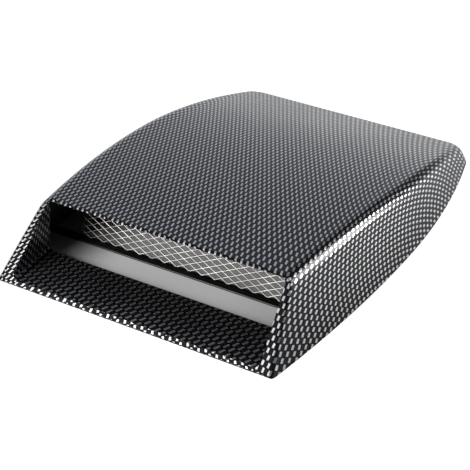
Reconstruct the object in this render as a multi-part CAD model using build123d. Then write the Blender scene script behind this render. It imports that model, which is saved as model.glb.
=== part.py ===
"""Bonnet scoop: a moulded carbon-look shell with an expanded-metal mesh behind its mouth.

Millimetres, +Z up.  The mouth faces -Y, and the foot of the shell lies on Z = 0.
While the pieces are drawn, Y is the distance behind the front lip; at the end
everything moves forward by half the length, so the origin is under the middle.
"""

import os
from math import cos, radians, sin, sqrt, tan

from build123d import *

# Outline of the foot, seen from above
LENGTH = 390.0
LIP_WIDTH = 256.0
WIDEST = 286.0
WIDEST_BEHIND_LIP = 200.0
TAIL_WIDTH = 233.0
TAIL_CORNER_RADIUS = 22.0

# Roof and walls
HEIGHT = 57.0
CROWN_BEHIND_LIP = 100.0
TAIL_HEIGHT = 10.0
WALL = 3.0
WALL_DRAFT = 20.0
SHOULDER_RADIUS = 12.0

# Mouth: a raked front frame, with a floor and two side returns behind it
MOUTH_RAKE = 44.0
MOUTH_WIDTH = 231.0
MOUTH_DRAFT = 5.5
MOUTH_DEPTH = 53.0
BROW = 1.8
FLOOR_THICKNESS = 3.6
LIP_EDGE = 1.2
FRAME_RADIUS = 5.0
MOUTH_CORNER_RADIUS = 4.0

# Mesh: diamonds of expanded metal, cut to size, leaning back on a foot rail
DIAMOND_LENGTH = 12.2
MESH_ROWS = 9
STRAND = 1.1
MESH_THICKNESS = 1.2
MESH_BEHIND_LIP = 88.0
MESH_SIDE_GAP = 6.5
MESH_LEAN = 15.0

# Rail: a flat strip between the side walls, under the mesh
RAIL_DEPTH = 9.0
RAIL_THICKNESS = 2.0
RAIL_HEEL = 2.0
BOND = 0.2

ROOF_DROP = HEIGHT - TAIL_HEIGHT
ROOF_RUN = LENGTH - CROWN_BEHIND_LIP
ROOF_RADIUS = (ROOF_RUN**2 + ROOF_DROP**2) / (2 * ROOF_DROP)
RAKE_SLOPE = tan(radians(MOUTH_RAKE))
DRAFT_SLOPE = tan(radians(WALL_DRAFT))
ABOVE_ROOF = HEIGHT + 20.0
BELOW_FOOT = -10.0
IN_FRONT = -10.0


def outline(inset, z):
    """Outline of the drafted walls at height z, drawn inset inside their outer faces."""
    side = inset / cos(radians(WALL_DRAFT)) + z * DRAFT_SLOPE
    lip = LIP_WIDTH / 2 - side
    widest = WIDEST / 2 - side
    tail = TAIL_WIDTH / 2 - side
    end = LENGTH - side
    right = Curve() + [
        TangentArc((widest, WIDEST_BEHIND_LIP), (lip, 0), tangent=(0, -1)),
        TangentArc((widest, WIDEST_BEHIND_LIP), (tail, end), tangent=(0, 1)),
    ]
    ends = [Line((-lip, 0), (lip, 0)), Line((-tail, end), (tail, end))]
    face = make_face(right + mirror(right, Plane.YZ) + ends)
    tail_corners = face.vertices().group_by(Axis.Y)[-1]
    return Pos(0, 0, z) * fillet(tail_corners, TAIL_CORNER_RADIUS - inset)


def walls(inset, foot):
    """Solid block inside the four drafted walls, from the height foot to above the roof."""
    return loft([outline(inset, foot), outline(inset, ABOVE_ROOF)], ruled=True)


def under_roof(inset):
    """Everything below the arched roof, inset under its outer face."""
    arc = Pos(CROWN_BEHIND_LIP, HEIGHT - ROOF_RADIUS) * Circle(ROOF_RADIUS - inset)
    return extrude(Plane.YZ * arc, amount=WIDEST, both=True)


def frame_at(z, inset):
    """Distance behind the lip of the raked front frame at height z."""
    return inset / cos(radians(MOUTH_RAKE)) + RAKE_SLOPE * (z - LIP_EDGE)


def behind_frame(inset):
    """Everything behind the raked front frame, inset behind its face."""
    low = 2 * BELOW_FOOT
    high = 2 * ABOVE_ROOF
    side = Polyline(
        (frame_at(low, inset), low),
        (LENGTH + 50, low),
        (LENGTH + 50, high),
        (frame_at(high, inset), high),
        close=True,
    )
    return extrude(Plane.YZ * make_face(side), amount=WIDEST, both=True)


def roof_height(y, inset):
    """Height of the roof face at distance y behind the lip."""
    radius = ROOF_RADIUS - inset
    return HEIGHT - ROOF_RADIUS + sqrt(radius**2 - (y - CROWN_BEHIND_LIP) ** 2)


def wall_half_width(y, z, inset):
    """Half width between the side walls at distance y behind the lip and height z."""
    before_widest = (WIDEST_BEHIND_LIP - y) / WIDEST_BEHIND_LIP
    foot = WIDEST / 2 - (WIDEST - LIP_WIDTH) / 2 * before_widest**2
    return foot - inset / cos(radians(WALL_DRAFT)) - z * DRAFT_SLOPE


def along_roof(edge, inset):
    """True for an edge that lies all along the roof face, or inset under it."""
    points = [edge @ t for t in (0.1, 0.5, 0.9)]
    return all(abs(p.Z - roof_height(p.Y, inset)) < 0.01 for p in points)


def on_shoulder(edge, inset):
    """True for an edge round the roof, apart from the front edge of the roof."""
    middle = edge @ 0.5
    return along_roof(edge, inset) and middle.Y - frame_at(middle.Z, inset) > 1


def on_mouth_corner(edge):
    """True for an edge where a side of the mouth meets the underside of the roof."""
    return along_roof(edge, BROW) and abs((edge @ 1).Y - (edge @ 0).Y) > 1


def on_frame(edge):
    """True for an edge round the outside of the raked front frame."""
    points = [edge @ t for t in (0.1, 0.5, 0.9)]
    flush = [abs(p.Y - frame_at(p.Z, 0)) < 0.01 for p in points]
    return all(flush) and points[1].Z > LIP_EDGE + 1


def form(inset, foot):
    """Scoop form with rounded shoulders, inset inside the outer faces."""
    block = (walls(inset, foot) & under_roof(inset) & behind_frame(inset)).solid()
    shoulders = block.edges().filter_by(lambda edge: on_shoulder(edge, inset))
    return fillet(shoulders, SHOULDER_RADIUS - inset)


def behind_lip(width, floor, depth):
    """Passage from in front of the lip to depth, from floor to above the roof, with leaning sides."""
    lean = tan(radians(MOUTH_DRAFT))
    low = width / 2 - floor * lean
    high = width / 2 - ABOVE_ROOF * lean
    section = make_face(
        Polyline((-low, floor), (low, floor), (high, ABOVE_ROOF), (-high, ABOVE_ROOF), close=True)
    )
    section = fillet(section.vertices().group_by(Axis.Y)[0], MOUTH_CORNER_RADIUS)
    return extrude(Plane.XZ.offset(-depth) * section, amount=depth - IN_FRONT)


def mouth_passage():
    """Air passage through the front frame, under a thin brow, rounded there as it is at the floor."""
    passage = behind_lip(MOUTH_WIDTH, FLOOR_THICKNESS, frame_at(HEIGHT, WALL)) & under_roof(BROW)
    return fillet(passage.edges().filter_by(on_mouth_corner), MOUTH_CORNER_RADIUS)


def scoop_shell():
    """Moulded shell: roof, walls and front frame, with the floor and returns of the mouth."""
    outer = form(0, 0)
    outer = fillet(outer.edges().filter_by(on_frame), FRAME_RADIUS)
    mouth = mouth_passage()
    hull = outer - form(WALL, BELOW_FOOT) - mouth
    lining = behind_lip(MOUTH_WIDTH + 2 * WALL, BELOW_FOOT, MOUTH_DEPTH) & outer
    return hull + (lining - mouth)


def foot_height():
    """Height of the middle of the mesh's lower edge."""
    return RAIL_THICKNESS + BOND + MESH_THICKNESS / 2 * sin(radians(MESH_LEAN))


def mesh_grille():
    """Expanded-metal mesh: a sheet of diamond gaps that leans back to the roof."""
    lean = radians(MESH_LEAN)
    reach = MESH_BEHIND_LIP + HEIGHT * tan(lean)
    room = wall_half_width(reach, HEIGHT - WALL, WALL) - MESH_SIDE_GAP
    columns = int(2 * room / DIAMOND_LENGTH)
    width = columns * DIAMOND_LENGTH
    rise = roof_height(reach, WALL) - BOND - MESH_THICKNESS / 2 * sin(lean) - foot_height()
    height = rise / cos(lean)
    pitch = height / MESH_ROWS

    # A gap is a diamond, drawn in by half a strand along each of its sides
    to_strand = DIAMOND_LENGTH * pitch / 2 / sqrt(DIAMOND_LENGTH**2 + pitch**2)
    share = 1 - STRAND / 2 / to_strand
    a = DIAMOND_LENGTH / 2 * share
    b = pitch / 2 * share
    even = [(n + 0.5) * DIAMOND_LENGTH - width / 2 for n in range(columns)]
    odd = [n * DIAMOND_LENGTH - width / 2 for n in range(1, columns)]
    rungs = [(n + 0.5) * pitch for n in range(MESH_ROWS)]
    centres = [(x, n * pitch) for x in even for n in range(1, MESH_ROWS)]
    centres += [(x, y) for x in odd for y in rungs]
    gaps = [Wire.make_polygon([(x + a, y), (x, y + b), (x - a, y), (x, y - b)]) for x, y in centres]

    # The sheet is cut through the middle of a diamond on all four sides
    bottom = [p for x in even for p in ((x - a, 0), (x, b), (x + a, 0))]
    top = [p for x in reversed(even) for p in ((x + a, height), (x, height - b), (x - a, height))]
    right = [p for y in rungs for p in ((width / 2, y - b), (width / 2 - a, y), (width / 2, y + b))]
    left = [(-x, y) for x, y in reversed(right)]
    corner = width / 2
    rim = [(-corner, 0), *bottom, (corner, 0), *right, (corner, height), *top, (-corner, height), *left]
    sheet = Face(Wire.make_polygon(rim), gaps)
    back = Plane((0, 0, 0), x_dir=(1, 0, 0), z_dir=(0, -cos(lean), sin(lean)))
    back = back.offset(-MESH_THICKNESS / 2)
    mesh = extrude(back * sheet, amount=MESH_THICKNESS)
    return Pos(0, MESH_BEHIND_LIP, foot_height()) * mesh


def mesh_rail():
    """Flat strip across the foot of the shell that the mesh stands on."""
    middle = MESH_BEHIND_LIP + RAIL_HEEL - RAIL_DEPTH / 2
    strip = Pos(0, middle, RAIL_THICKNESS / 2) * Box(WIDEST, RAIL_DEPTH, RAIL_THICKNESS)
    return strip & walls(WALL + BOND, BELOW_FOOT)


PIECES = {
    "scoop_shell": scoop_shell(),
    "mesh_grille": mesh_grille(),
    "mesh_rail": mesh_rail(),
}

os.makedirs("parts", exist_ok=True)
for name, piece in PIECES.items():
    placed = Pos(0, -LENGTH / 2, 0) * piece
    placed.label = name
    export_step(placed, f"parts/{name}.step")
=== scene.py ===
"""Bonnet scoop: looks for a moulded carbon-look shell with an expanded-metal mesh."""

from math import acos, atan2, cos, pi, radians, sin, sqrt, tan
from typing import NamedTuple

import bmesh
import bpy
import numpy as np
from bpy.props import FloatProperty, FloatVectorProperty, IntProperty, PointerProperty
from mathutils import Matrix, Vector


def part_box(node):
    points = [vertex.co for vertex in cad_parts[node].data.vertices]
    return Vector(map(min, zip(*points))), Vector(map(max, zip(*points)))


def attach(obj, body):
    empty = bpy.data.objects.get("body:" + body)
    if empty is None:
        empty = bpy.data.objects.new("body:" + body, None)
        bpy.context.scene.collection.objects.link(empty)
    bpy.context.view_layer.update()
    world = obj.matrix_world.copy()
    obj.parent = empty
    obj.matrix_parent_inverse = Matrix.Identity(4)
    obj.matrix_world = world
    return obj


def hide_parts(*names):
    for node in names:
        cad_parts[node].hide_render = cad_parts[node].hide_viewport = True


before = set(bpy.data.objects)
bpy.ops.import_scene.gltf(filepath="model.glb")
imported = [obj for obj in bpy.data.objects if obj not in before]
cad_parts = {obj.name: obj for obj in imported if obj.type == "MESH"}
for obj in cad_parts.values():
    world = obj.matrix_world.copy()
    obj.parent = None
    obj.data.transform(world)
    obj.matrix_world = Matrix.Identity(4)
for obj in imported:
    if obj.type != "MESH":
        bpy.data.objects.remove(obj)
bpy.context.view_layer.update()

SHELL_LOW, SHELL_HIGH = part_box("scoop_shell")
LIP_Y = SHELL_LOW.y

bl_info = {
    "name": "Bonnet scoop",
    "version": (1, 0, 0),
    "blender": (4, 5, 0),
    "location": "View3D > Sidebar > Bonnet scoop",
    "description": "Builds the printed shell, the mesh, the rail and the studio of a bonnet scoop",
    "category": "Object",
}


def length(name, description, default):
    """A length property in metres."""
    return FloatProperty(name=name, description=description, default=default, unit="LENGTH", precision=5)


def angle(name, description, default):
    """An angle property, with its default given in degrees."""
    return FloatProperty(name=name, description=description, default=radians(default), subtype="ANGLE")


def tint(name, description, default):
    """A linear colour property."""
    return FloatVectorProperty(
        name=name, description=description, default=default, subtype="COLOR", min=0, max=1
    )


class ScoopShellSizes(bpy.types.PropertyGroup):
    """Sizes of the moulded shell, as the solid has them"""

    length: length("Length", "Lip to tail", SHELL_HIGH.y - SHELL_LOW.y)
    widest: length("Widest", "Width of the foot at its widest", SHELL_HIGH.x - SHELL_LOW.x)
    height: length("Height", "Height of the roof's crown", SHELL_HIGH.z)
    lip_width: length("Lip width", "Width of the foot at the lip", 0.256)
    widest_at: length("Widest at", "Distance of the widest place behind the lip", 0.200)
    tail_width: length("Tail width", "Width of the foot at the tail", 0.233)
    tail_corner: length("Tail corner", "Radius of the tail's corners, seen from above", 0.022)
    crown_at: length("Crown at", "Distance of the crown behind the lip", 0.100)
    tail_height: length("Tail height", "Height of the roof at the tail", 0.010)
    wall: length("Wall", "Thickness of the walls", 0.003)
    draft: angle("Draft", "Lean of the walls", 20.0)
    shoulder: length("Shoulder", "Radius between roof and walls", 0.012)
    rake: angle("Rake", "Lean of the front frame", 44.0)
    frame_round: length("Frame round", "Radius round the outside of the front frame, at the foot", 0.005)
    brow_round: length("Brow round", "The same radius, at the roof", 0.002)
    lip_edge: length("Lip edge", "Upright edge under the front frame", 0.0012)
    mouth_width: length("Mouth width", "Width of the mouth at the foot", 0.231)
    mouth_draft: angle("Mouth draft", "Lean of the sides of the mouth", 5.5)
    mouth_depth: length("Mouth depth", "End of the floor behind the lip", 0.053)
    brow: length("Brow", "Thickness of the roof over the mouth", 0.0018)
    mouth_corner: length("Mouth corner", "Radius in the mouth's corners", 0.004)
    floor: length("Floor", "Height of the mouth's floor", 0.0036)
    edge_break: length("Edge break", "Rounding of the edge of the mouth", 0.0005)


class ScoopMeshSizes(bpy.types.PropertyGroup):
    """Sizes of the expanded-metal mesh, as the solid has them, of its turned strands and its rail"""

    diamond: length("Diamond", "Width of a diamond", 0.0122)
    rows: IntProperty(name="Rows", description="Diamonds from the foot to the roof", default=9)
    lean: angle("Lean", "Lean of the sheet", 15.0)
    opening: FloatProperty(name="Opening", description="Share that a gap is opened by", default=0.12)
    lift: length("Lift", "How far the edges of a gap stand out of the sheet", 0.0001)
    thinned: length("Thinned", "How much thinner the sheet looks than its model", 0.0006)
    rail_round: length("Rail round", "Rounding of the edges of the rail under the mesh", 0.0008)


class ScoopFinishes(bpy.types.PropertyGroup):
    """Colours of the finishes"""

    film_black: tint("Film black", "Ground of the printed film", (0.0015, 0.0015, 0.002))
    film_dim: tint("Film dim", "Dark checks of the printed film", (0.009, 0.009, 0.011))
    film_light: tint("Film light", "Light checks of the printed film", (0.95, 0.95, 0.96))
    inside_black: tint("Inside black", "Bare plastic inside the shell", (0.012, 0.012, 0.012))
    aluminium: tint("Aluminium", "Bare metal of the mesh", (0.28, 0.273, 0.26))
    rail_black: tint("Rail black", "Plastic of the rail", (0.009, 0.0085, 0.008))


class ScoopStudio(bpy.types.PropertyGroup):
    """Camera"""

    lens: FloatProperty(name="Lens", description="Focal length in millimetres", default=112.6)
    sensor: FloatProperty(name="Sensor", description="Width of the sensor in millimetres", default=36)
    azimuth: angle("Azimuth", "Turn of the camera to the right of the mouth", 30.71)
    elevation: angle("Elevation", "Height angle of the camera", 32.07)
    roll: angle("Roll", "Turn of the camera about its view", 0.2)


# Studio: where the camera stands
CAMERA_AT = (0.5422, -0.9470, 0.6628)

# Studio: each lamp's name, direction from the scoop, distance, size and power
LAMPS = (
    ("key softbox", (-0.38, -0.88, 0.29), 1.4, (0.7, 0.5), 16.0),
    ("rear softbox", (0.69, 0.64, 0.35), 1.6, (0.44, 0.90), 13.0),
)
LAMPS_LOOK_AT = Vector((0, 0, 0.03))

# Studio: a smooth step is where it starts and ends, and its level before and after if not 0 and 1.
# The table is grey in front, paler at the back, and glows by itself far behind, left of FAR_SIDE.
TABLE_SIZE = 8
TABLE_FRONT = (0.42, 0.42, 0.42)
TABLE_BACK = (0.92, 0.92, 0.92)
TABLE_PALER = (-0.15, 0.30)
FAR_SIDE = (0.30, 0.15)
FAR_BACK = (0.22, 0.60, 0.0, 0.30)

# Studio: the lift that shows the table white to the camera, the share of it that reflections see, how it
# fades under the shell, from the foot's outline, and the painted light added to it on the table in the
# mouth, which fades to painted shade at the left, dims to the right and is brighter in front of the rail
# than behind it
WHITE_LIFT = 0.80
MIRRORED = (-0.10, 0.05, 0.0, 0.14)
UNDER_HEM = 0.0005
UNDER_SIDE = (0.0, -0.002)
UNDER_LIP = (0.0005, 0.005)
UNDER_TAIL = (-0.019, -0.023)
# Painted light in the mouth: painted shade at the left, dimmer to the right, brighter before the rail
PAINTED_LIGHT_LEFT = (-0.105, -0.055)
PAINTED_LIGHT_RIGHT = (0.03, 0.12, 1.0, 0.6)
PAINTED_LIGHT_BACK = (-0.100, -0.112, 0.07, 0.25)

# Studio: the sky by its turn from straight behind the scoop, in radians to the right, with a white
# skirt at the horizon, a dark wall behind above it, and a dark front
SKY_OVERHEAD = 0.32
SKY_TINT = (0.86, 0.92, 1.02)
WHITE = (1.0, 1.0, 1.0)
SKIRT_POWER = 5.0
SKIRT_LEFT = (-0.95, -0.60, 0.15, 1.0)
SKIRT_RIGHT = (0.05, 0.35, 0.55, 0.90)
DARK_LEFT = (-0.40, -0.12)
DARK_RIGHT = (1.2, 0.75)
DARK_RAISED = (0.06, 0.18)
DARK_FRONT = (0.0, -0.35)
DARKNESS = 0.85

# Film: how the print lies on the shell laid out flat, as its repeats across and along for each
# decimetre to the right and to the back.  The roof counts from its middle line, FILM_MIDDLE behind
# the lip, and a wall from SHOULDER_AT, where it turns down.
DECIMETRE = 0.1
FILM_MIDDLE = 0.18
SHOULDER_AT = 0.107
ROOF_START = np.array((4.0, 8.9))
ROOF_RIGHT = np.array((23.4, 0.7))
ROOF_BACK = np.array((4.6, 8.8))

# Film: what each further decimetre adds to that, where the film was stretched over the roof
ROOF_STRETCH = np.array((-0.6, -0.5))
ROOF_TURN = np.array((1.4, -1.2))
ROOF_PINCH = np.array((-1.0, 0.0))
ROOF_SWAY = np.array((0.6, 0.0))
ROOF_CURL = np.array((-0.54, 0.0))

# Film: repeats for each decimetre down a wall, and what each further decimetre adds
WALL_DOWN = np.array((23.2, -5.3))
WALL_TURN = np.array((0.0, 2.9))
WALL_BOW = np.array((-2.4, 1.65))
WALL_SPREAD = np.array((-7.3, -3.3))

# Film: two checks in a repeat, and where the edges of a check fade, from its middle
CHECKS = 2.0
FADE_ACROSS = (0.38, 0.26)
FADE_ALONG = (0.44, 0.33)


def film_right(x, y):
    """Repeats of the print, across and along, at a place on the roof or down the right wall."""
    back = (y - FILM_MIDDLE) / DECIMETRE
    right = min(x, SHOULDER_AT) / DECIMETRE
    down = max(x - SHOULDER_AT, 0) / DECIMETRE
    along = ROOF_BACK + back * ROOF_SWAY + back**2 * ROOF_CURL
    across = ROOF_RIGHT + back * ROOF_TURN + back**2 * ROOF_PINCH + right * ROOF_STRETCH
    wall = WALL_DOWN + back * WALL_TURN + back**2 * WALL_BOW + down * WALL_SPREAD
    return ROOF_START + back * along + right * across + down * wall


def film(x, y):
    """Repeats at a place of the film laid out flat; the left wall mirrors the right one."""
    if x > -SHOULDER_AT:
        return film_right(x, y)
    turned = film_right(-x, y) - film_right(SHOULDER_AT, y)
    return film_right(-SHOULDER_AT, y) + turned * (-1, 1)


class FlatFilm(NamedTuple):
    """Film on a flat face: its repeats at the start, and what a decimetre right or up adds."""

    start: tuple
    right: tuple
    up: tuple

    def at(self, x, y):
        """Repeats of the print at a place on the face."""
        return np.array(self.start) + (x * np.array(self.right) + y * np.array(self.up)) / DECIMETRE


# Film on the front frame and in the mouth.  The frame's posts begin at POST_FROM to each side.  It is
# parted at the height BROW_FROM, and has the roof's film from just under that, BROW_UP up its face.
POST_RIGHT = FlatFilm(start=(2.1, -10.1), right=(18.5, 1.5), up=(-1.0, 10.1))
POST_LEFT = FlatFilm(start=(0.0, -0.1), right=(21.3, 0.3), up=(-14.8, 10.9))
LIP = FlatFilm(start=(-0.4, -0.6), right=(15.5, 3.5), up=(-17.4, 18.4))
FLOOR = FlatFilm(start=(1.1, -1.4), right=(15.2, 2.4), up=(-5.6, 7.1))
RETURN = FlatFilm(start=(-6.4, -1.3), right=(20.0, -3.0), up=(2.0, 11.0))
POST_FROM = 0.110
BROW_FROM = 0.030
BROW_UP = 0.040

# Shell: how far forms and cutting tools reach past it, so that no two faces fall together, and the
# height over the lip at which the mouth's edge begins to be rounded
FORM_FOOT = -0.008
CAVITY_FOOT = -0.010
LINING_FOOT = -0.012
BEFORE_LIP = -0.010
ABOVE_ROOF = 0.080
ABOVE_LIP = 0.002

# Shell: steps of its rounds, of the mouth and of the rows from the front frame to the middle of the
# tail, and how many cuts part the front frame to each side of its middle, and how far apart
CORNER_STEPS = 8
PASSAGE_STEPS = 12
FAN_STEPS = 14
FAN_END = 0.75
CORNER_MIDDLE = 2.5
FRAME_CUTS = 7
FRAME_STEP = 0.0141

# Shell: limits at which points touch, faces lie in one plane or level, and edges are sharp, and the
# share of the way to a face's middle at which its film is read
TOUCHING = 1e-5
IN_PLANE = 0.9999
LEVEL = 0.7
SHARP = radians(30)
INWARD = 1e-3

# Shell: marks of the points of the front edge, to which their level or column is added
LEFT_MARK = 100
RIGHT_MARK = 500
ROOF_MARK = 1000


def spread(start, end, count):
    """Even steps after a start, up to an end."""
    return [start + (end - start) * n / count for n in range(1, count + 1)]


SIDE_PLACES = spread(FAN_END, 1, 6) + spread(1, 2, 22) + spread(2, CORNER_MIDDLE, 3)
TAIL_PLACES = [CORNER_MIDDLE] + spread(CORNER_MIDDLE, 3, 3) + spread(3, 4, 14)


class Row(NamedTuple):
    """Points of a section from the foot to the roof, their normals and their places on the film."""

    points: np.ndarray
    normals: np.ndarray
    flat: np.ndarray

    def mirrored(self):
        """The same row on the other side."""
        return Row(self.points * (-1, 1, 1), self.normals * (-1, 1, 1), self.flat * (-1, 1))


class ScoopForm:
    """The drafted, arched form of the shell, at an inset under its outer faces."""

    WALL_STEPS = 10
    ROUND_STEPS = 10
    EDGE_STEPS = 6
    ROOF_TRIES = 30
    EDGE_TRIES = 12
    FIRST_GUESS = 0.03

    def __init__(self, sizes, inset=0.0, foot=FORM_FOOT):
        self.sizes = sizes
        self.inset = inset
        self.foot = foot
        self.radius = sizes.shoulder - inset
        run, drop = sizes.length - sizes.crown_at, sizes.height - sizes.tail_height
        self.roof_radius = (run**2 + drop**2) / (2 * drop)
        self.face = np.array((0, -cos(sizes.rake), sin(sizes.rake)))

    def roof(self, y):
        """Height of the roof at distance y behind the lip."""
        fall = (self.roof_radius - self.inset) ** 2 - (y - self.sizes.crown_at) ** 2
        return self.sizes.height - self.roof_radius + sqrt(fall)

    def roof_normal(self, y):
        """Upward normal of the roof at distance y behind the lip."""
        lean = (y - self.sizes.crown_at) / (self.roof_radius - self.inset)
        return np.array((0, lean, sqrt(1 - lean**2)))

    def wall_point(self, place, z):
        """Point of the right wall at height z.

        place runs from 0 at the lip to 1 at the widest, 2 at the tail corner, 3 past
        the corner and 4 in the middle of the tail.
        """
        s = self.sizes
        side = self.inset / cos(s.draft) + z * tan(s.draft)
        widest = s.widest / 2 - side
        if place <= 1:
            drop = (s.widest - s.lip_width) / 2
            bow = (s.widest_at**2 + drop**2) / (2 * drop)
            back = s.widest_at * (1 - place)
            return np.array((widest - bow + sqrt(bow**2 - back**2), s.widest_at - back, z))
        run, drop = s.length - side - s.widest_at, (s.widest - s.tail_width) / 2
        bow = (run**2 + drop**2) / (2 * drop)
        corner = s.tail_corner - self.inset
        y = s.length - side - corner
        x = widest - bow + sqrt((bow - corner) ** 2 - (y - s.widest_at) ** 2)
        turn = atan2(y - s.widest_at, x - widest + bow)
        if place <= 2:
            a = (place - 1) * turn
            return np.array((widest - bow + bow * cos(a), s.widest_at + bow * sin(a), z))
        if place <= 3:
            a = turn + (place - 2) * (pi / 2 - turn)
            return np.array((x + corner * cos(a), y + corner * sin(a), z))
        return np.array((x * (4 - place), s.length - side, z))

    def section(self, place):
        """Row of the right wall at a place, from its foot to the roof."""
        step = 1e-4
        z = self.sizes.height
        for _ in range(self.ROOF_TRIES):
            z = self.roof(self.wall_point(place, z)[1])
        top = self.wall_point(place, z)
        along = self.wall_point(min(place + step, 4), z) - self.wall_point(place - step, z)
        up = self.wall_point(place, z + step) - self.wall_point(place, z - step)
        side = np.cross(along, up)
        side /= np.linalg.norm(side)
        roof = self.roof_normal(top[1])
        turn = acos(side @ roof)
        edge = np.cross(side, roof)
        down = np.cross(side, edge)
        down *= -np.sign(down[2]) / np.linalg.norm(down)
        start = top + self.radius * tan(turn / 2) * down
        centre = start - self.radius * side
        slip = start - self.wall_point(place, start[2])
        points, normals = [], []
        for n in range(self.WALL_STEPS + 1):
            share = n / self.WALL_STEPS
            height = self.foot + share * (start[2] - self.foot)
            points.append(self.wall_point(place, height) + share * slip)
            normals.append(side)
        for n in range(1, self.ROUND_STEPS + 1):
            share = n / self.ROUND_STEPS
            out = (sin((1 - share) * turn) * side + sin(share * turn) * roof) / sin(turn)
            points.append(centre + self.radius * out)
            normals.append(out)
        return Row(np.array(points), np.array(normals), unrolled(np.array(points), place))

    def edge(self, z):
        """Radius round the outside of the front frame at height z."""
        s = self.sizes
        share = min(max(z / s.height, 0), 1)
        return 0.0 if self.inset else s.frame_round + share * (s.brow_round - s.frame_round)

    def behind_face(self, point, normal):
        """How far a point has to move back for the frame's edge round to touch it."""
        s = self.sizes
        edge = self.edge(point[2])
        centre = point - edge * normal
        ahead = self.face @ (centre - np.array((0, 0, s.lip_edge)))
        return (ahead + edge + self.inset) / cos(s.rake)

    def front_row(self):
        """Row of the right wall along the front frame's edge round."""
        found = []
        for n in range(self.WALL_STEPS + self.ROUND_STEPS + 1):
            y = self.FIRST_GUESS
            for _ in range(self.EDGE_TRIES):
                row = self.section(y / self.sizes.widest_at)
                y += self.behind_face(row.points[n], row.normals[n])
            found.append([part[n] for part in row])
        return Row(*(np.array(part) for part in zip(*found)))

    def measure_front(self, row):
        """Notes where the roof's film comes to the front, and how far up the frame that is."""
        top, out = row.points[-1], row.normals[-1]
        end = top + self.edge(top[2]) * (self.face - out)
        self.front_roof = top[1] - self.edge(top[2]) * acos(out @ self.face)
        self.front_up = self.up_frame(end[2])

    def up_frame(self, z):
        """Distance up the raked front frame at height z."""
        return (z - self.sizes.lip_edge) / cos(self.sizes.rake)

    def film(self, x, y):
        """Repeats of the print, which only the outer faces have."""
        return np.zeros(2) if self.inset else film(x, y)


class FormRows:
    """Rows of a form all round it, from the left front over the tail to the right front."""

    def __init__(self, form):
        tail = [form.section(place) for place in TAIL_PLACES]
        self.right = self.right_rows(form)
        self.left = [row.mirrored() for row in self.right]
        self.rear = [row.mirrored() for row in tail] + tail[-2::-1]
        self.stations = self.left + self.rear[1:-1] + self.right[::-1]
        self.columns = len(self.rear) - 1
        self.lines = len(self.right) - 1
        self.top = len(self.right[0].points) - 1

    def right_rows(self, form):
        """Rows of the right wall from the front frame to the middle of the tail corner."""
        first = form.front_row()
        fan_end = FAN_END * form.sizes.widest_at
        rows = [first]
        for step in range(1, FAN_STEPS + 1):
            fan = []
            for n, start in enumerate(first.points):
                y = start[1] + (fan_end - start[1]) * step / FAN_STEPS
                fan.append([part[n] for part in form.section(y / form.sizes.widest_at)])
            rows.append(Row(*(np.array(part) for part in zip(*fan))))
        return rows + [form.section(place) for place in SIDE_PLACES]

    def station(self, column, line):
        """Number of the row that hangs from a point of the roof panel, or -1 inside the panel."""
        if column == 0:
            return line
        if column == self.columns:
            return 2 * self.lines + self.columns - line
        return self.lines + column if line == self.lines else -1

    def plan(self, column, line):
        """Place of a point of the roof panel, seen from above, spread between the panel's edges."""
        def edge(row):
            return row.points[-1][:2]

        front, end = edge(self.right[0]), edge(self.right[-1])
        across = column / self.columns
        back = (edge(self.right[line])[1] - front[1]) / (end[1] - front[1])
        front_point = np.array((front[0] * (2 * across - 1), front[1]))
        front_chord = (1 - across) * edge(self.left[0]) + across * front
        rear_chord = (1 - across) * edge(self.left[-1]) + across * end
        return (
            (1 - back) * (front_point - front_chord) + back * (edge(self.rear[column]) - rear_chord)
            + (1 - across) * edge(self.left[line]) + across * edge(self.right[line])
        )

    def front_normal(self, form, mark, y):
        """Normal of the form at a marked point of its front edge."""
        if mark >= ROOF_MARK:
            return form.roof_normal(y)
        if mark >= RIGHT_MARK:
            return self.right[0].normals[mark - RIGHT_MARK]
        return self.left[0].normals[mark - LEFT_MARK]


class FrontArc:
    """Round from one point of the front edge to the raked face of the front frame."""

    def __init__(self, form, point, normal, start):
        self.form = form
        self.normal = normal
        self.start = np.array(start)
        self.radius = form.edge(point.z)
        self.centre = np.array(point) - self.radius * normal
        self.turn = acos(normal @ form.face)

    def point(self, share):
        """Place at a share of the round."""
        wall, face = sin((1 - share) * self.turn), sin(share * self.turn)
        return self.centre + self.radius * (wall * self.normal + face * self.form.face) / sin(self.turn)

    def film(self, share):
        """Repeats at a share of the round, and 1 on the left, where a seam parts them from the wall's."""
        end = self.centre + self.radius * self.form.face
        if end[0] < -POST_FROM:
            before = (1 - share) * self.radius * self.turn
            return (*frame_film(self.form, end - np.array((before, 0, 0))), 1)
        return (*(self.start + share * (frame_film(self.form, end) - self.start)), 0)


def unrolled(points, place):
    """Place of each point on the film, laid out flat from the roof over the wall."""
    steps = np.linalg.norm(np.diff(points[::-1], axis=0), axis=1)
    down = np.concatenate(([0], np.cumsum(steps)))[::-1]
    turn = min(max(place - 2, 0), 1) * pi / 2
    edge = points[-1]
    if place <= 2:
        return np.stack((edge[0] + down, points[:, 1]), axis=1)
    if place >= 3:
        return np.stack((points[:, 0], edge[1] + down), axis=1)
    return np.stack((edge[0] + down * cos(turn), edge[1] + down * sin(turn)), axis=1)


def activate(obj):
    """Makes an object the active one and the only one selected."""
    bpy.ops.object.select_all(action="DESELECT")
    obj.select_set(True)
    bpy.context.view_layer.objects.active = obj


def edit(obj):
    """Opens an object by itself in edit mode."""
    activate(obj)
    bpy.ops.object.mode_set(mode="EDIT")


def edit_added(name):
    """Names the object that was added last and opens it in edit mode."""
    obj = bpy.context.object
    obj.name = name
    edit(obj)
    return obj


def done():
    """Leaves edit mode and returns the object."""
    bpy.ops.object.mode_set(mode="OBJECT")
    return bpy.context.object


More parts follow.
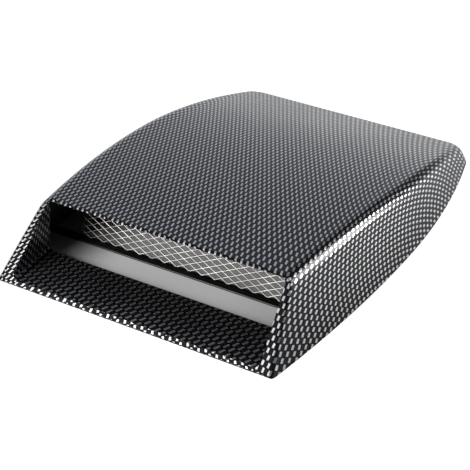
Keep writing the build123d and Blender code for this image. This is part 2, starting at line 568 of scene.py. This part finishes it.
def select_only(mesh, test):
    """Selects the vertices that pass a test, with the edges and faces between them."""
    bpy.ops.mesh.select_mode(type="VERT")
    bpy.ops.mesh.select_all(action="DESELECT")
    for v in mesh.verts:
        v.select = bool(test(v))
    mesh.select_flush(True)


def open_form(obj):
    """A form's mesh and its points' layers: their station, mark at the front, film and its seam."""
    mesh = bmesh.from_edit_mesh(obj.data)
    whole, vector = mesh.verts.layers.int, mesh.verts.layers.float_vector
    return mesh, whole["station"], whole["front"], vector["film"], vector["seam"]


def scoop_form(name, form):
    """Closed form of the scoop: a roof panel, walls extruded down from it and a front frame."""
    rows = FormRows(form)
    obj = roof_panel(name, form, rows)
    hang_walls(obj, form, rows)
    if form.inset:
        close_inset(obj, form)
    else:
        form.measure_front(rows.right[0])
        round_front(obj, form, rows)
        close_outer(obj, form)
    bpy.ops.mesh.select_all(action="SELECT")
    bpy.ops.mesh.normals_make_consistent(inside=False)
    lay_film(obj, form)
    return done()


def roof_panel(name, form, rows):
    """Roof of a form: a grid drawn to the line where the shoulders begin, left open in edit mode."""
    bpy.ops.mesh.primitive_grid_add(x_subdivisions=rows.columns, y_subdivisions=rows.lines, size=2)
    obj = edit_added(name)
    mesh = bmesh.from_edit_mesh(obj.data)
    for layer in ("station", "front"):
        mesh.verts.layers.int.new(layer)
    for layer in ("film", "seam"):
        mesh.verts.layers.float_vector.new(layer)
    mesh, station_of, front_of, film_of, _ = open_form(obj)
    for v in mesh.verts:
        column = round((v.co.x + 1) / 2 * rows.columns)
        line = round((v.co.y + 1) / 2 * rows.lines)
        x, y = rows.plan(column, line)
        v.co = (x, y, form.roof(y))
        v[film_of] = (*form.film(x, y), 0)
        v[station_of] = rows.station(column, line)
        if line == 0:
            v[front_of] = ROOF_MARK + column
    return obj


def hang_walls(obj, form, rows):
    """Extrudes the shoulders and walls from the edge of the roof panel, level by level."""
    mesh, _, front_of, _, _ = open_form(obj)
    select_only(mesh, lambda v: False)
    for e in mesh.edges:
        e.select = e.is_boundary and not all(v[front_of] >= ROOF_MARK for v in e.verts)
    last = len(rows.stations) - 1
    for level in range(rows.top - 1, -1, -1):
        bpy.ops.mesh.extrude_edges_move()
        mesh, station_of, front_of, film_of, _ = open_form(obj)
        for v in mesh.verts:
            if v.select:
                row = rows.stations[v[station_of]]
                v.co = row.points[level]
                v[film_of] = (*form.film(*row.flat[level]), 0)
                v[front_of] = {0: LEFT_MARK + level, last: RIGHT_MARK + level}.get(v[station_of], 0)
    for v in mesh.verts:
        if v[front_of] >= ROOF_MARK and v[station_of] in (0, last):
            v[front_of] = rows.top + (RIGHT_MARK if v[station_of] else LEFT_MARK)


def round_front(obj, form, rows):
    """Extrudes the round of the front frame from the front edge, with the film over it."""
    mesh, _, front_of, film_of, seam_of = open_form(obj)
    select_only(mesh, lambda v: False)
    for e in mesh.edges:
        e.select = e.is_boundary and all(v[front_of] > 0 for v in e.verts)
    mesh.select_flush_mode()
    arcs = {}
    for v in mesh.verts:
        mark = v[front_of]
        if mark > 0:
            normal = rows.front_normal(form, mark, v.co.y)
            arcs[mark] = FrontArc(form, v.co, normal, v[film_of][:2])
            v[seam_of] = arcs[mark].film(0)
    for share in spread(0, 1, form.EDGE_STEPS):
        bpy.ops.mesh.extrude_edges_move()
        mesh, _, front_of, film_of, _ = open_form(obj)
        for v in mesh.verts:
            if v.select:
                arc = arcs[v[front_of]]
                v.co = arc.point(share)
                v[film_of] = arc.film(share)


def move_to_lip(obj):
    """Moves a form, drawn from the lip, to its place in the frame."""
    mesh = bmesh.from_edit_mesh(obj.data)
    for v in mesh.verts:
        v.co.y += LIP_Y
    return mesh


def close_inset(obj, form):
    """Closes the front and the foot of a form that is cut out of another one."""
    mesh, _, front_of, _, _ = open_form(obj)
    select_only(mesh, lambda v: v[front_of] > 0)
    bpy.ops.mesh.edge_face_add()
    mesh = move_to_lip(obj)
    select_only(mesh, lambda v: abs(v.co.z - form.foot) < TOUCHING)
    bpy.ops.mesh.edge_face_add()


def close_outer(obj, form):
    """Closes the front frame, parts it where its film changes, and cuts the form at foot and lip."""
    bpy.ops.mesh.edge_face_add()
    across = [n * FRAME_STEP for n in range(-FRAME_CUTS, FRAME_CUTS + 1)] + [-POST_FROM, POST_FROM]
    cuts = [((x, 0, 0), (1, 0, 0)) for x in across] + [((0, 0, BROW_FROM), (0, 0, 1))]
    for at, normal in cuts:
        select_faces(obj, lambda f: Vector(form.face).dot(f.normal) > IN_PLANE)
        bpy.ops.mesh.bisect(plane_co=at, plane_no=normal)
    move_to_lip(obj)
    for normal, at in (((0, 0, 1), (0, 0, 0)), ((0, 1, 0), (0, LIP_Y, 0))):
        bpy.ops.mesh.select_all(action="SELECT")
        bpy.ops.mesh.bisect(plane_co=at, plane_no=normal, use_fill=True, clear_inner=True)


def frame_film(form, point):
    """Repeats on the front frame, in step with the right wall; the lip's run over into the roof's."""
    across, up = point[0], form.up_frame(point[2])
    if abs(across) > POST_FROM:
        post = POST_RIGHT if across > 0 else POST_LEFT
        return post.at(across, up)
    if up > BROW_UP:
        return film(across, form.front_roof + (up - form.front_up))
    return LIP.at(across, up)


def lay_film(obj, form):
    """Gives each corner of each face its place on the film, as the map named print."""
    print_of = bmesh.from_edit_mesh(obj.data).loops.layers.uv.new("print")
    mesh, _, _, film_of, seam_of = open_form(obj)
    for f in mesh.faces:
        flat = Vector(form.face).dot(f.normal) > IN_PLANE
        middle = f.calc_center_median()
        past_seam = any(v[film_of].z for v in f.verts)
        for loop in f.loops:
            seam = loop.vert[seam_of]
            cells = seam[:2] if past_seam and seam.z else loop.vert[film_of][:2]
            if flat and not form.inset:
                inward = loop.vert.co + (middle - loop.vert.co) * INWARD
                cells = frame_film(form, inward)
            loop[print_of].uv = cells
    bmesh.update_edit_mesh(obj.data)


def select_faces(obj, test):
    """Selects only the faces that pass a test."""
    bpy.ops.mesh.select_mode(type="FACE")
    bpy.ops.mesh.select_all(action="DESELECT")
    mesh = bmesh.from_edit_mesh(obj.data)
    mesh.normal_update()
    for f in mesh.faces:
        f.select_set(bool(test(f)))
    bmesh.update_edit_mesh(obj.data)
    return mesh


def passage(name, sizes, width, floor, depth, roof):
    """Straight block through the mouth, with leaning sides and rounded corners."""
    lean = tan(sizes.mouth_draft)
    corner = sizes.mouth_corner

    def outline(top):
        """Points round the block where its top is at a height."""
        points = []
        for side, z, first in ((1, floor, -pi / 2), (1, top, 0), (-1, top, pi / 2), (-1, floor, pi)):
            lift = corner if z == floor else -corner
            x = side * (width / 2 - (z + lift) * lean - corner)
            for n in range(CORNER_STEPS + 1):
                a = first + n / CORNER_STEPS * pi / 2
                points.append((x + corner * cos(a), z + lift + corner * sin(a)))
        return points

    bpy.ops.mesh.primitive_circle_add(vertices=4 * (CORNER_STEPS + 1), radius=1, fill_type="NGON")
    obj = edit_added(name)
    mesh = bmesh.from_edit_mesh(obj.data)
    order = mesh.verts.layers.int.new("order")
    for n, v in enumerate(mesh.verts):
        v[order] = n
    for n, y in enumerate([BEFORE_LIP] + spread(BEFORE_LIP, depth, PASSAGE_STEPS)):
        if n:
            bpy.ops.mesh.extrude_region_move()
            mesh = bmesh.from_edit_mesh(obj.data)
            order = mesh.verts.layers.int["order"]
        ring = outline(roof(y))
        for v in mesh.verts:
            if v.select:
                x, z = ring[v[order]]
                v.co = (x, LIP_Y + y, z)
    bpy.ops.mesh.select_all(action="SELECT")
    bpy.ops.mesh.normals_make_consistent(inside=False)
    mesh = bmesh.from_edit_mesh(obj.data)
    print_of = mesh.loops.layers.uv.new("print")
    for f in mesh.faces:
        flat = abs(f.normal.z) > LEVEL
        for loop in f.loops:
            x, y, z = loop.vert.co
            loop[print_of].uv = FLOOR.at(x, y - LIP_Y) if flat else RETURN.at(y - LIP_Y, z)
    bmesh.update_edit_mesh(obj.data)
    return done()


def cut(obj, tool):
    """Cuts one solid out of another and deletes the tool."""
    activate(obj)
    hollow = obj.modifiers.new("Cut", "BOOLEAN")
    hollow.operation = "DIFFERENCE"
    hollow.solver = "EXACT"
    hollow.object = tool
    bpy.ops.object.modifier_apply(modifier=hollow.name)
    bpy.data.objects.remove(tool)


def own_tree(block):
    """The node tree of a new material or world, emptied."""
    block.use_nodes = True
    block.node_tree.nodes.clear()
    return block.node_tree


def fill(tree, node, inputs):
    """Sets or links inputs of a node."""
    for name, value in inputs.items():
        if isinstance(value, bpy.types.NodeSocket):
            tree.links.new(value, node.inputs[name])
        else:
            node.inputs[name].default_value = value


def add_node(tree, kind, inputs=None, **settings):
    """Adds a node, with its settings and the values or links of its inputs."""
    node = tree.nodes.new("ShaderNode" + kind)
    for name, value in settings.items():
        setattr(node, name, value)
    fill(tree, node, inputs or {})
    return node


def sum_up(tree, operation, *values):
    """Adds a Math node and returns its output."""
    return add_node(tree, "Math", dict(enumerate(values)), operation=operation).outputs[0]


def product(tree, first, *others):
    """Multiplies values by Math nodes and returns the output."""
    for other in others:
        first = sum_up(tree, "MULTIPLY", first, other)
    return first


def ramp(tree, value, start, end, before=0.0, after=1.0):
    """Adds a smooth step of a value, from one level to another, and returns its output."""
    node = add_node(
        tree, "MapRange",
        {"Value": value, "From Min": start, "From Max": end, "To Min": before, "To Max": after},
        interpolation_type="SMOOTHSTEP",
    )
    return node.outputs["Result"]


def mix(tree, share, *colours):
    """Adds a Mix node between two colours and returns its output."""
    first, second = (c if isinstance(c, bpy.types.NodeSocket) else (*c, 1) for c in colours)
    return add_node(tree, "Mix", {0: share, 6: first, 7: second}, data_type="RGBA").outputs[2]


# Finishes: where the clouds of the handling marks begin and end to show, in roughness and in
# colour, and how much rougher and paler worn plastic is, and how much duller worn metal
CLOUDED = (0.3, 0.7)
WORN = (0.35, 0.8, 0.0, 0.6)
DULLED = (0.35, 0.7)
ROUGHER = 0.12
PALER = 2.2
HAZE = 0.002
DULLER = 0.78


def handling_marks():
    """Shader node group: faint cloudy wear and fine grain that every finish shares."""
    name = "handling marks"
    if name in bpy.data.node_groups:
        return bpy.data.node_groups[name]
    group = bpy.data.node_groups.new(name, "ShaderNodeTree")
    start = group.nodes.new("NodeGroupInput")
    end = group.nodes.new("NodeGroupOutput")
    place = add_node(group, "TexCoord").outputs["Object"]
    for title, detail, rough in (("Cloud", 3.0, 0.6), ("Grain", 2.0, 0.5)):
        group.interface.new_socket(title + " Scale", in_out="INPUT", socket_type="NodeSocketFloat")
        group.interface.new_socket(title, in_out="OUTPUT", socket_type="NodeSocketFloat")
        scale = start.outputs[title + " Scale"]
        inputs = {"Vector": place, "Scale": scale, "Detail": detail, "Roughness": rough}
        noise = add_node(group, "TexNoise", inputs)
        group.links.new(noise.outputs[0], end.inputs[title])
    return group


def marks(tree, shader, cloud_scale, grain_scale, rough, bump):
    """Places the handling marks in a finish, as its roughness and bumps, and returns their cloud."""
    scales = {"Cloud Scale": cloud_scale, "Grain Scale": grain_scale}
    cloud, grain = add_node(tree, "Group", scales, node_tree=handling_marks()).outputs
    strength, distance = bump
    bumps = add_node(tree, "Bump", {"Height": grain, "Strength": strength, "Distance": distance})
    fill(tree, shader, {"Roughness": ramp(tree, cloud, *CLOUDED, *rough), "Normal": bumps.outputs[0]})
    return cloud


def finish(name):
    """A material with a Principled BSDF, its node tree and that node."""
    material = bpy.data.materials.new(name)
    tree = own_tree(material)
    shader = add_node(tree, "BsdfPrincipled")
    add_node(tree, "OutputMaterial", {"Surface": shader.outputs[0]})
    return material, tree, shader


def carbon_film(finishes):
    """Printed film of staggered silver and grey checks under a clear gloss coat."""
    material, tree, shader = finish("carbon look film")
    place = add_node(tree, "UVMap", uv_map="print").outputs[0]
    cells = add_node(tree, "SeparateXYZ", {0: place})
    fills, counts = [], []
    for cell, fade in zip(cells.outputs, (FADE_ACROSS, FADE_ALONG)):
        half = sum_up(tree, "MULTIPLY_ADD", cell, CHECKS, 0.5)
        counts.append(sum_up(tree, "FLOOR", half))
        off = sum_up(tree, "ABSOLUTE", sum_up(tree, "SUBTRACT", sum_up(tree, "FRACT", half), 0.5))
        fills.append(ramp(tree, off, *fade))
    check = product(tree, *fills)
    odd = sum_up(tree, "PINGPONG", sum_up(tree, "ADD", *counts), 1.0)
    light = product(tree, check, sum_up(tree, "SUBTRACT", 1.0, odd))
    ground = mix(tree, product(tree, check, odd), finishes.film_black, finishes.film_dim)
    fill(tree, shader, {
        "Base Color": mix(tree, light, ground, finishes.film_light),
        "Metallic": light,
        "Specular IOR Level": 0.03,
        "Coat Weight": 1.0,
        "Coat Roughness": 0.20,
        "Coat IOR": 1.5,
    })
    marks(tree, shader, 18.0, 1400.0, rough=(0.29, 0.36), bump=(0.08, 0.0002))
    return material


def moulded_plastic(name, colour, rough):
    """Black moulded plastic with a fine grain."""
    material, tree, shader = finish(name)
    cloud = marks(tree, shader, 30.0, 1800.0, rough=(rough, rough + ROUGHER), bump=(0.25, 0.0003))
    pale = tuple(min(c * PALER + HAZE, 1) for c in colour)
    fill(tree, shader, {"Base Color": mix(tree, ramp(tree, cloud, *WORN), colour, pale)})
    return material


def bare_aluminium(finishes):
    """Bare rolled aluminium, a little clouded."""
    material, tree, shader = finish("bare aluminium")
    cloud = marks(tree, shader, 60.0, 2500.0, rough=(0.40, 0.50), bump=(0.15, 0.0002))
    dull = tuple(c * DULLER for c in finishes.aluminium)
    colour = mix(tree, ramp(tree, cloud, *DULLED), finishes.aluminium, dull)
    fill(tree, shader, {"Base Color": colour, "Metallic": 1.0})
    return material


def copy_of(node, name):
    """A merged copy of a CAD node's mesh, as an object of its own, open in edit mode."""
    obj = bpy.data.objects.new(name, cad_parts[node].data.copy())
    bpy.context.scene.collection.objects.link(obj)
    obj.data.materials.clear()
    edit(obj)
    bpy.ops.mesh.select_all(action="SELECT")
    bpy.ops.mesh.remove_doubles(threshold=1e-6)
    return obj


def settle(obj, node):
    """Puts a finished piece in the place of its CAD node."""
    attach(obj, "root")
    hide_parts(node)


class SCOOP_OT_shell(bpy.types.Operator):
    """Model the moulded shell with its printed film"""

    bl_idname = "scoop.shell"
    bl_label = "Moulded shell"

    def execute(self, context):
        sizes, finishes = context.scene.scoop_shell, context.scene.scoop_finishes
        slots = (carbon_film(finishes), moulded_plastic("inside plastic", finishes.inside_black, 0.5))
        form = ScoopForm(sizes)
        inner = ScoopForm(sizes, inset=sizes.wall, foot=CAVITY_FOOT)
        shell = scoop_form("shell", form)
        cavity = scoop_form("cavity", inner)
        brow = ScoopForm(sizes, inset=sizes.brow)
        through = (sizes.height - sizes.lip_edge) * tan(sizes.rake) + sizes.wall / cos(sizes.rake)
        lined = sizes.mouth_width + 2 * sizes.wall
        lining = passage("lining", sizes, lined, LINING_FOOT, sizes.mouth_depth, lambda y: ABOVE_ROOF)
        mouth = passage("mouth", sizes, sizes.mouth_width, sizes.floor, through, brow.roof)
        for obj, index in ((shell, 0), (cavity, 1), (lining, 1), (mouth, 0)):
            for material in slots:
                obj.data.materials.append(material)
            for face in obj.data.polygons:
                foot = face.normal.z < -LEVEL and abs(face.center.z) < TOUCHING
                face.material_index = 1 if foot else index
        cut(cavity, lining)
        cut(shell, cavity)
        cut(shell, mouth)
        self.break_edges(shell, form, sizes)
        bpy.ops.object.shade_smooth_by_angle(angle=SHARP)
        weighted = shell.modifiers.new("Weighted normals", "WEIGHTED_NORMAL")
        weighted.keep_sharp = True
        bpy.ops.object.modifier_apply(modifier=weighted.name)
        settle(shell, "scoop_shell")
        return {"FINISHED"}

    def break_edges(self, shell, form, sizes):
        """Rounds the edge between the front frame and the mouth, and levels the foot."""
        edit(shell)
        bpy.ops.mesh.select_mode(type="EDGE")
        bpy.ops.mesh.select_all(action="DESELECT")
        mesh = bmesh.from_edit_mesh(shell.data)
        face = Vector(form.face)
        start = Vector((0, LIP_Y, sizes.lip_edge))
        for e in mesh.edges:
            flush = all(abs(face.dot(v.co - start)) < 2 * TOUCHING for v in e.verts)
            sharp = len(e.link_faces) == 2 and e.calc_face_angle() > SHARP
            e.select_set(flush and sharp and min(v.co.z for v in e.verts) > ABOVE_LIP)
        bmesh.update_edit_mesh(shell.data)
        bpy.ops.mesh.bevel(offset=sizes.edge_break, segments=3, affect="EDGES", clamp_overlap=True)
        mesh = bmesh.from_edit_mesh(shell.data)
        for v in mesh.verts:
            v.co.z = max(v.co.z, 0)
        bmesh.update_edit_mesh(shell.data)
        done()


# Mesh: as shares of a diamond, how near the sheet's rim a point stays where it is, how far a gap
# reaches from its middle, and from where on a point is its top or its bottom
RIM = 0.01
GAP_REACH = 0.47
TIP = 0.1


class SCOOP_OT_mesh(bpy.types.Operator):
    """Model the expanded-metal mesh behind the mouth"""

    bl_idname = "scoop.mesh"
    bl_label = "Expanded-metal mesh"

    def execute(self, context):
        obj = copy_of("mesh_grille", "mesh")
        self.turn_strands(obj, context.scene.scoop_mesh)
        done()
        obj.data.materials.append(bare_aluminium(context.scene.scoop_finishes))
        bpy.ops.object.shade_flat()
        settle(obj, "mesh_grille")
        return {"FINISHED"}

    def turn_strands(self, obj, sizes):
        """Thins the sheet, opens each gap, and brings its top edge forward and its bottom edge back."""
        low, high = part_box("mesh_grille")
        lean = sizes.lean
        up, out = Vector((0, sin(lean), cos(lean))), Vector((0, -cos(lean), sin(lean)))
        mesh = bmesh.from_edit_mesh(obj.data)
        heights = [v.co.dot(up) for v in mesh.verts]
        start, pitch = min(heights), (max(heights) - min(heights)) / sizes.rows
        columns = round((high.x - low.x) / sizes.diamond)
        moves = []
        for v in mesh.verts:
            x, t = (v.co.x - low.x) / sizes.diamond, (v.co.dot(up) - start) / pitch
            across, along = x - 0.5 - round(x - 0.5), t - round(t)
            if abs(across) + abs(along) > 0.5:
                across, along = x - round(x), t - 0.5 - round(t - 0.5)
            rim = min(t, sizes.rows - t, x, columns - x) < RIM
            if abs(across) + abs(along) < GAP_REACH and not rim:
                wider = Vector((across * sizes.diamond, 0, 0)) + up * along * pitch
                lift = (along > TIP) - (along < -TIP)
                moves.append((v, wider * sizes.opening + out * lift * sizes.lift))
        depths = [v.co.dot(out) for v in mesh.verts]
        middle = (min(depths) + max(depths)) / 2
        moves += [(v, out * sizes.thinned) for v, depth in zip(mesh.verts, depths) if depth < middle]
        for v, move in moves:
            v.co += move
        bmesh.update_edit_mesh(obj.data)


class SCOOP_OT_rail(bpy.types.Operator):
    """Model the flat strip that the mesh stands on"""

    bl_idname = "scoop.rail"
    bl_label = "Mesh rail"

    def execute(self, context):
        obj = copy_of("mesh_rail", "rail")
        bpy.ops.mesh.dissolve_limited(angle_limit=radians(1))
        bpy.ops.mesh.select_all(action="SELECT")
        bpy.ops.mesh.bevel(offset=context.scene.scoop_mesh.rail_round, segments=3, affect="EDGES")
        done()
        finishes = context.scene.scoop_finishes
        obj.data.materials.append(moulded_plastic("rail plastic", finishes.rail_black, 0.28))
        bpy.ops.object.shade_smooth_by_angle(angle=SHARP)
        settle(obj, "mesh_rail")
        return {"FINISHED"}


class SCOOP_OT_stage(bpy.types.Operator):
    """Set the floor, the lights and the camera"""

    bl_idname = "scoop.stage"
    bl_label = "Studio"

    def execute(self, context):
        studio = context.scene.scoop_studio
        bpy.ops.mesh.primitive_plane_add(size=TABLE_SIZE)
        floor = context.object
        floor.name = "floor"
        floor.data.materials.append(self.paper(context.scene.scoop_shell))
        camera = bpy.data.objects.new("camera", bpy.data.cameras.new("camera"))
        context.scene.collection.objects.link(camera)
        camera.location = CAMERA_AT
        turns = ((studio.azimuth, "Z"), (pi / 2 - studio.elevation, "X"), (studio.roll, "Z"))
        turned = Matrix.Identity(3)
        for turn, axis in turns:
            turned = turned @ Matrix.Rotation(turn, 3, axis)
        camera.rotation_euler = turned.to_euler()
        camera.data.lens = studio.lens
        camera.data.sensor_width = studio.sensor
        context.scene.camera = camera
        for lamp in LAMPS:
            self.softbox(context, *lamp)
        context.scene.world = self.sky()
        context.scene.view_settings.view_transform = "Standard"
        return {"FINISHED"}

    def paper(self, sizes):
        """Grey table, lifted to white round the scoop for the camera, that keeps a soft shadow."""
        material = bpy.data.materials.new("white paper")
        tree = own_tree(material)
        place = add_node(tree, "SeparateXYZ", {0: add_node(tree, "TexCoord").outputs["Object"]})
        x, y, _ = place.outputs
        colour = mix(tree, ramp(tree, y, *TABLE_PALER), TABLE_FRONT, TABLE_BACK)
        matt = add_node(tree, "BsdfDiffuse", {"Color": colour})
        shade = product(tree, self.under_shell(tree, x, y, sizes), WHITE_LIFT)
        # Painted light on the table seen through the mouth, fading to painted shade at the left
        painted_mouth_light = product(
            tree, ramp(tree, x, *PAINTED_LIGHT_LEFT), ramp(tree, x, *PAINTED_LIGHT_RIGHT), ramp(tree, y, *PAINTED_LIGHT_BACK),
        )
        lift = sum_up(tree, "ADD", painted_mouth_light, sum_up(tree, "SUBTRACT", WHITE_LIFT, shade))
        path = add_node(tree, "LightPath").outputs
        mirror = sum_up(tree, "ADD", path["Is Glossy Ray"], path["Is Transmission Ray"])
        seen = sum_up(tree, "MULTIPLY_ADD", mirror, ramp(tree, y, *MIRRORED), path["Is Camera Ray"])
        far = product(tree, ramp(tree, x, *FAR_SIDE), ramp(tree, y, *FAR_BACK))
        shown = sum_up(tree, "MAXIMUM", product(tree, seen, lift), far)
        glow = add_node(tree, "Emission", {"Strength": shown})
        both = add_node(tree, "AddShader", {0: matt.outputs[0], 1: glow.outputs[0]})
        add_node(tree, "OutputMaterial", {"Surface": both.outputs[0]})
        return material

    def under_shell(self, tree, x, y, sizes):
        """Mask that is 1 inside the outline of the shell's foot, which is bowed at its sides."""
        lip_bow = (sizes.widest - sizes.lip_width) / 2 / sizes.widest_at**2
        tail_bow = (sizes.widest - sizes.tail_width) / 2 / (sizes.length - sizes.widest_at) ** 2
        behind = sum_up(tree, "SUBTRACT", y, LIP_Y + sizes.widest_at)
        half = sum_up(
            tree, "MULTIPLY_ADD", product(tree, behind, behind), -lip_bow, sizes.widest / 2 - UNDER_HEM,
        )
        tail = sum_up(tree, "POWER", sum_up(tree, "MAXIMUM", behind, 0.0), 2.0)
        half = sum_up(tree, "MULTIPLY_ADD", tail, lip_bow - tail_bow, half)
        beyond = sum_up(tree, "SUBTRACT", sum_up(tree, "ABSOLUTE", x), half)
        past_lip = sum_up(tree, "SUBTRACT", y, LIP_Y)
        past_tail = sum_up(tree, "SUBTRACT", y, LIP_Y + sizes.length)
        return product(
            tree, ramp(tree, beyond, *UNDER_SIDE), ramp(tree, past_lip, *UNDER_LIP),
            ramp(tree, past_tail, *UNDER_TAIL),
        )

    def softbox(self, context, name, direction, distance, size, power):
        """An area lamp that looks at the scoop."""
        bpy.ops.object.light_add(type="AREA")
        lamp = context.object
        lamp.name = name
        lamp.data.shape = "RECTANGLE"
        lamp.data.size, lamp.data.size_y = size
        lamp.data.energy = power
        way = Vector(direction).normalized()
        lamp.location = LAMPS_LOOK_AT + way * distance
        lamp.rotation_euler = way.to_track_quat("Z", "Y").to_euler()

    def sky(self):
        """Studio walls: white behind on the left, dark behind, dimmer overhead and in front."""
        world = bpy.data.worlds.new("studio")
        tree = own_tree(world)
        way = add_node(tree, "SeparateXYZ", {0: add_node(tree, "TexCoord").outputs["Generated"]})
        x, y, z = way.outputs
        turn = sum_up(tree, "ARCTAN2", x, y)
        fall = sum_up(tree, "SUBTRACT", 1.0, sum_up(tree, "MAXIMUM", z, 0.0))
        low = sum_up(tree, "POWER", fall, SKIRT_POWER)
        skirt = product(tree, ramp(tree, turn, *SKIRT_LEFT), ramp(tree, turn, *SKIRT_RIGHT))
        panel = sum_up(tree, "MULTIPLY_ADD", low, skirt, SKY_OVERHEAD)
        behind = product(
            tree, ramp(tree, turn, *DARK_LEFT), ramp(tree, turn, *DARK_RIGHT), ramp(tree, z, *DARK_RAISED),
        )
        dark = sum_up(tree, "MAXIMUM", behind, ramp(tree, y, *DARK_FRONT))
        level = product(tree, panel, sum_up(tree, "MULTIPLY_ADD", dark, -DARKNESS, 1.0))
        camera = add_node(tree, "LightPath").outputs["Is Camera Ray"]
        shown = sum_up(tree, "MAXIMUM", level, camera)
        colour = mix(tree, sum_up(tree, "MAXIMUM", low, camera), SKY_TINT, WHITE)
        background = add_node(tree, "Background", {"Color": colour, "Strength": shown})
        add_node(tree, "OutputWorld", {"Surface": background.outputs[0]})
        return world


class SCOOP_PT_panel(bpy.types.Panel):
    """Lists the steps that build the scoop"""

    bl_idname = "SCOOP_PT_panel"
    bl_label = "Bonnet scoop"
    bl_space_type = "VIEW_3D"
    bl_region_type = "UI"
    bl_category = "Bonnet scoop"

    def draw(self, context):
        for step in ("scoop.shell", "scoop.mesh", "scoop.rail", "scoop.stage"):
            self.layout.operator(step)
        for group in GROUPS:
            values = getattr(context.scene, group)
            for name in values.bl_rna.properties.keys():
                if name not in ("rna_type", "name"):
                    self.layout.prop(values, name)


GROUPS = {
    "scoop_shell": ScoopShellSizes,
    "scoop_mesh": ScoopMeshSizes,
    "scoop_finishes": ScoopFinishes,
    "scoop_studio": ScoopStudio,
}
CLASSES = (
    *GROUPS.values(),
    SCOOP_OT_shell,
    SCOOP_OT_mesh,
    SCOOP_OT_rail,
    SCOOP_OT_stage,
    SCOOP_PT_panel,
)


def register():
    for cls in CLASSES:
        bpy.utils.register_class(cls)
    for name, group in GROUPS.items():
        setattr(bpy.types.Scene, name, PointerProperty(type=group))


def unregister():
    for name in GROUPS:
        delattr(bpy.types.Scene, name)
    for cls in reversed(CLASSES):
        bpy.utils.unregister_class(cls)


def main():
    """Builds the scoop and its studio."""
    register()
    bpy.ops.scoop.shell()
    bpy.ops.scoop.mesh()
    bpy.ops.scoop.rail()
    bpy.ops.scoop.stage()


if __name__ == "__main__":
    main()
